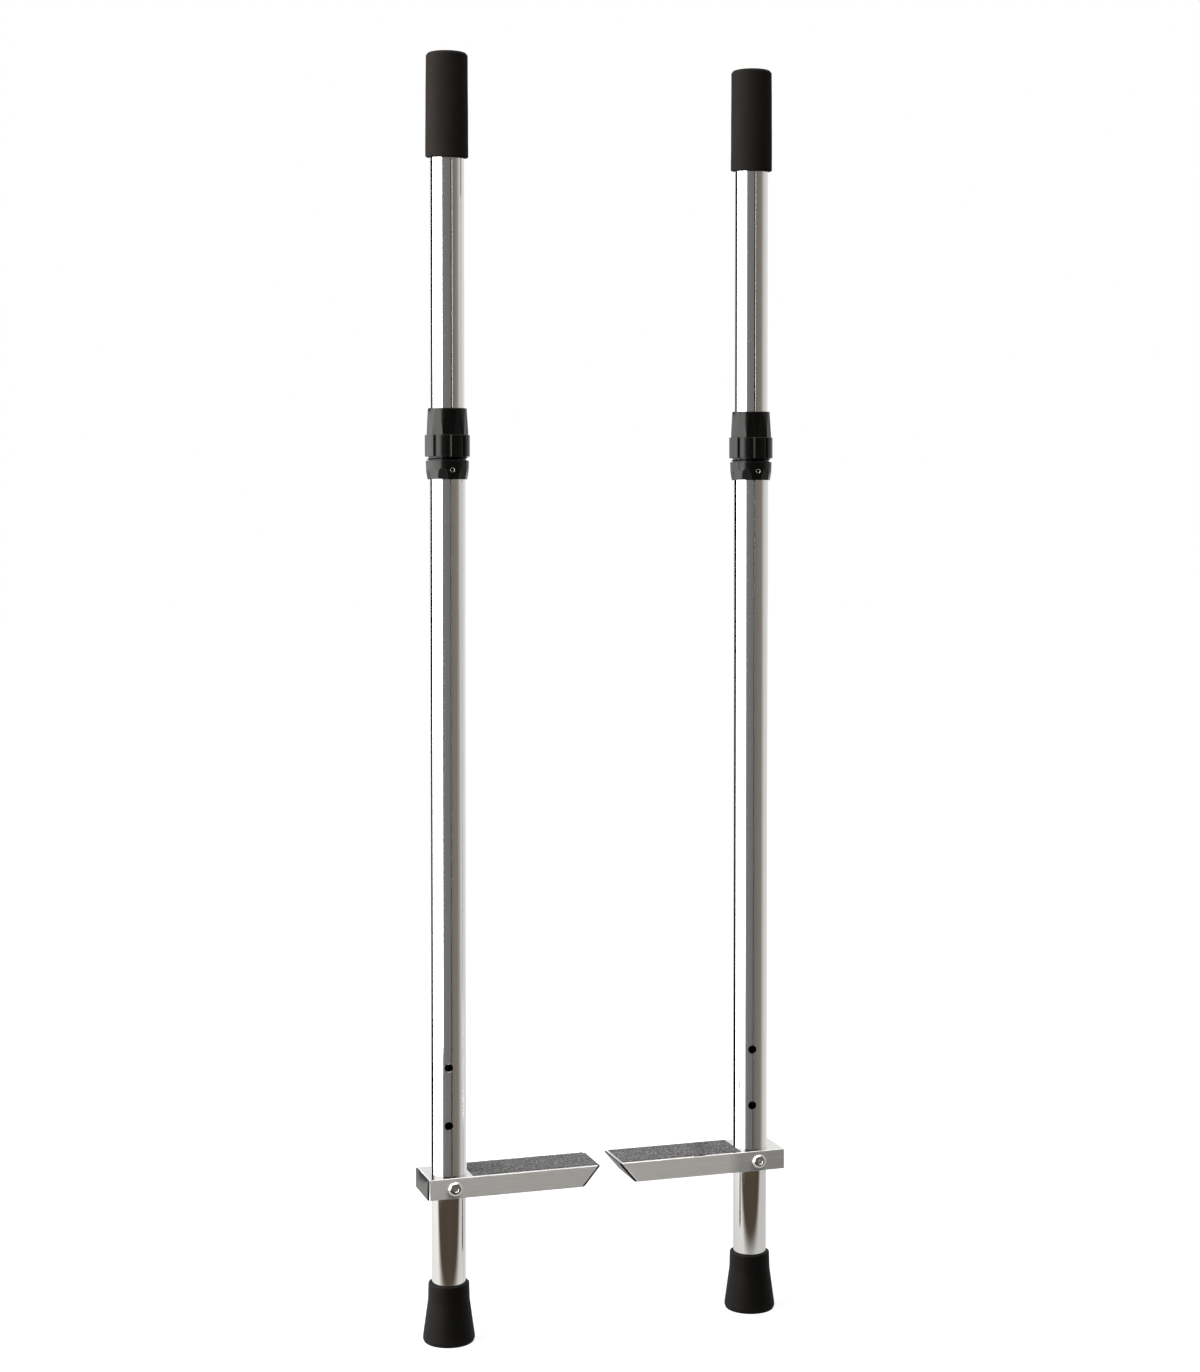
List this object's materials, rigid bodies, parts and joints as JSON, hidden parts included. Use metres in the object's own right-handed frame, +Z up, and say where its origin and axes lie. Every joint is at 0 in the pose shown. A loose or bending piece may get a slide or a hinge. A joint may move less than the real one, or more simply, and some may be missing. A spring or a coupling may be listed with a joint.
{
  "type": "stilts",
  "caption": "Pair of hand-held aluminium stilts: telescopic poles with twist clamps, foam grips, bolted gritty footrests with mitred ends, and flared rubber feet.",
  "frame": {"origin": "centre of the pair's box, on the floor the rubber feet stand on", "axes": "+X along the pair from the left stilt to the right one, -Y the side of the bolt heads, +Z up the poles"},
  "size_m": [0.372, 0.0687, 1.258],
  "materials": {
    "polished_aluminium": "polished",
    "satin_aluminium": "brushed lengthwise",
    "black_plastic": "satin moulded",
    "inner_plastic": "moulded",
    "white_plastic": "moulded",
    "steel": "bright zinc plated",
    "grit": "gritty anti-slip strip",
    "rubber": "matte",
    "foam": "closed-cell foam"
  },
  "bodies": {
    "left_lower": {"left_ferrule": "rubber", "left_ferrule_disc": "steel", "left_foot_tube": "polished_aluminium", "left_main_tube": "polished_aluminium", "left_footrest_beam": "satin_aluminium", "left_tread_pad": "grit", "left_outer_end_plug": "black_plastic", "left_inner_end_plug": "black_plastic", "left_footrest_bolt": "steel", "left_bolt_washer": "steel", "left_cap_nut": "steel", "left_clamp_collar": "black_plastic", "left_collar_screw": "steel", "left_clamp_collet": "inner_plastic"},
    "left_upper": {"left_upper_tube": "polished_aluminium", "left_guide_bush": "inner_plastic", "left_grip_plug": "inner_plastic", "left_foam_grip": "foam"},
    "left_slip": {"left_slip_ring": "white_plastic"},
    "left_nut": {"left_clamp_nut": "black_plastic"},
    "right_lower": {"right_ferrule": "rubber", "right_ferrule_disc": "steel", "right_foot_tube": "polished_aluminium", "right_main_tube": "polished_aluminium", "right_footrest_beam": "satin_aluminium", "right_tread_pad": "grit", "right_outer_end_plug": "black_plastic", "right_inner_end_plug": "black_plastic", "right_footrest_bolt": "steel", "right_bolt_washer": "steel", "right_cap_nut": "steel", "right_clamp_collar": "black_plastic", "right_collar_screw": "steel", "right_clamp_collet": "inner_plastic"},
    "right_upper": {"right_upper_tube": "polished_aluminium", "right_guide_bush": "inner_plastic", "right_grip_plug": "inner_plastic", "right_foam_grip": "foam"},
    "right_slip": {"right_slip_ring": "white_plastic"},
    "right_nut": {"right_clamp_nut": "black_plastic"}
  },
  "joints": [
    {"name": "left_telescope", "type": "slide", "parent": "left_lower", "child": "left_upper", "axis": [0, 0, 1], "range_m": [-0.23, 0.14]},
    {"name": "left_nut_travel", "type": "slide", "parent": "left_lower", "child": "left_slip", "axis": [0, 0, 1], "range_m": [0, 0.00225]},
    {"name": "left_nut_twist", "type": "hinge", "parent": "left_slip", "child": "left_nut", "pos_m": [-0.1583, -0.0051, 0.89], "axis": [0, 0, 1], "range_deg": [0, 270]},
    {"name": "right_telescope", "type": "slide", "parent": "right_lower", "child": "right_upper", "axis": [0, 0, 1], "range_m": [-0.23, 0.14]},
    {"name": "right_nut_travel", "type": "slide", "parent": "right_lower", "child": "right_slip", "axis": [0, 0, 1], "range_m": [0, 0.00225]},
    {"name": "right_nut_twist", "type": "hinge", "parent": "right_slip", "child": "right_nut", "pos_m": [0.1583, -0.0051, 0.89], "axis": [0, 0, 1], "range_deg": [0, 270]},
    {"name": "pair_spacing", "type": "slide", "parent": "left_lower", "child": "right_lower", "axis": [1, 0, 0], "range_m": [-0.015, 0.25]}
  ],
  "couplings": [
    {"joint": "left_nut_twist", "follows": "left_nut_travel", "rad_per_m": 2094.4},
    {"joint": "right_nut_twist", "follows": "right_nut_travel", "rad_per_m": 2094.4}
  ]
}
